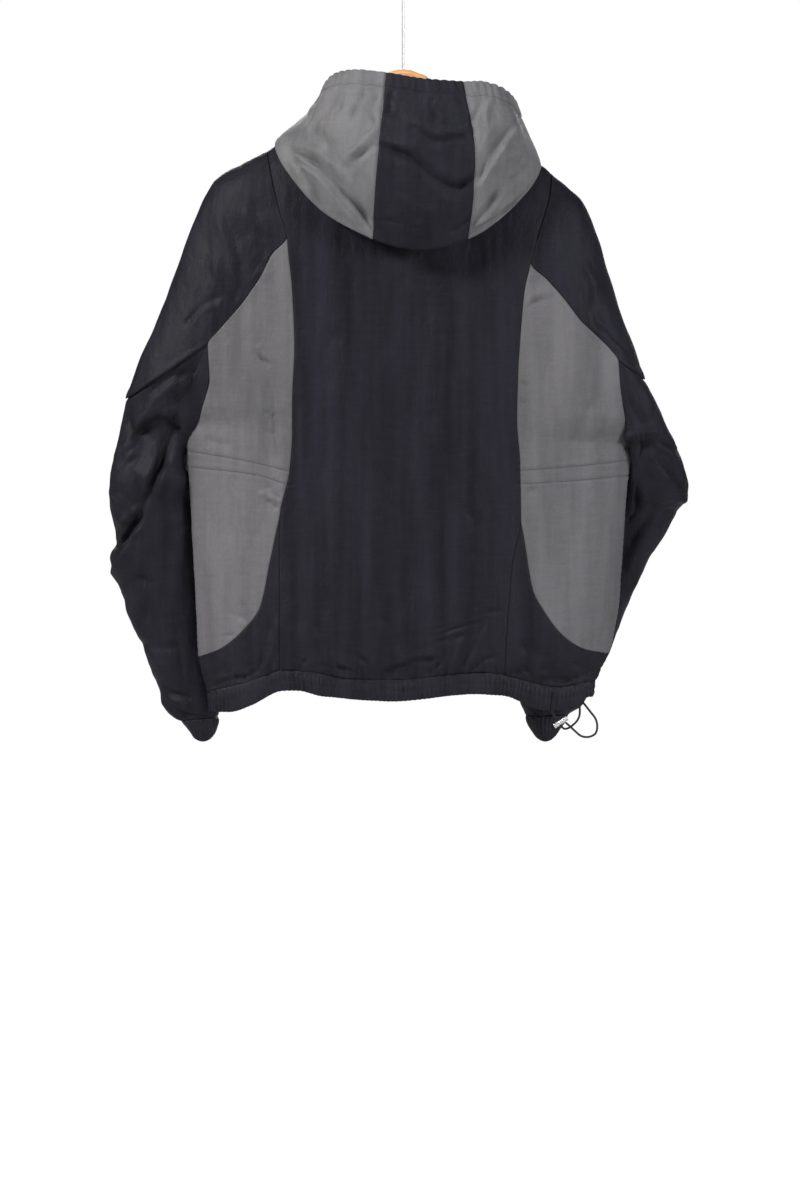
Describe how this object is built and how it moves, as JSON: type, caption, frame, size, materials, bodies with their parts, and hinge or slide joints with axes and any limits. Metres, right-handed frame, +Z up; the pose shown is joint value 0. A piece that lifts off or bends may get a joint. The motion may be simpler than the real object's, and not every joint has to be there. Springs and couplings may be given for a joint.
{
  "type": "windbreaker jacket on a hanger",
  "caption": "Hooded windbreaker jacket with grey side panels and hood, elastic hem and cuffs and a front zip, hanging on a wooden hanger with a wire hook.",
  "frame": {"origin": "inside top of the hanger hook's curl, where a rail carries it", "axes": "+Z up, +X to the right as the back of the jacket is faced, +Y towards the wearer's front; the back faces -Y"},
  "size_m": [0.7536, 0.2318, 1.036],
  "materials": {
    "shell_black": "black coated nylon with a low sheen",
    "shell_grey": "dark grey woven nylon",
    "hood_grey": "mid grey woven nylon",
    "zip_tape": "black woven tape",
    "zip_metal": "black enamel",
    "cord": "black braided elastic",
    "lock_metal": "polished",
    "wood": "clear satin lacquer",
    "wire": "plain steel wire"
  },
  "bodies": {
    "jacket": {"back_centre": "shell_black", "back_side_left": "shell_grey", "back_side_right": "shell_grey", "back_lower_left": "shell_black", "back_lower_right": "shell_black", "front_left": "shell_black", "front_right": "shell_black", "sleeve_cap_left": "shell_black", "sleeve_cap_right": "shell_black", "sleeve_left": "shell_black", "sleeve_right": "shell_black", "cuff_left": "shell_black", "cuff_right": "shell_black", "hood_left": "hood_grey", "hood_centre": "shell_black", "hood_right": "hood_grey", "hem_back": "shell_black", "hem_front_left": "shell_black", "hem_front_right": "shell_black", "zip_tape_left": "zip_tape", "zip_tape_right": "zip_tape", "zip_slider": "zip_metal", "hem_cord_loop": "cord", "hem_cord_short": "cord", "cord_lock": "lock_metal", "cord_tether": "cord", "hanger_wood": "wood", "hanger_hook": "wire"},
    "pull_tab": {"zip_pull": "zip_metal"}
  },
  "joints": [
    {"name": "pull_tab_hinge", "type": "hinge", "parent": "jacket", "child": "pull_tab", "pos_m": [0, 0.07231, -0.246], "axis": [1, 0, 0], "range_deg": [0, 110]}
  ]
}
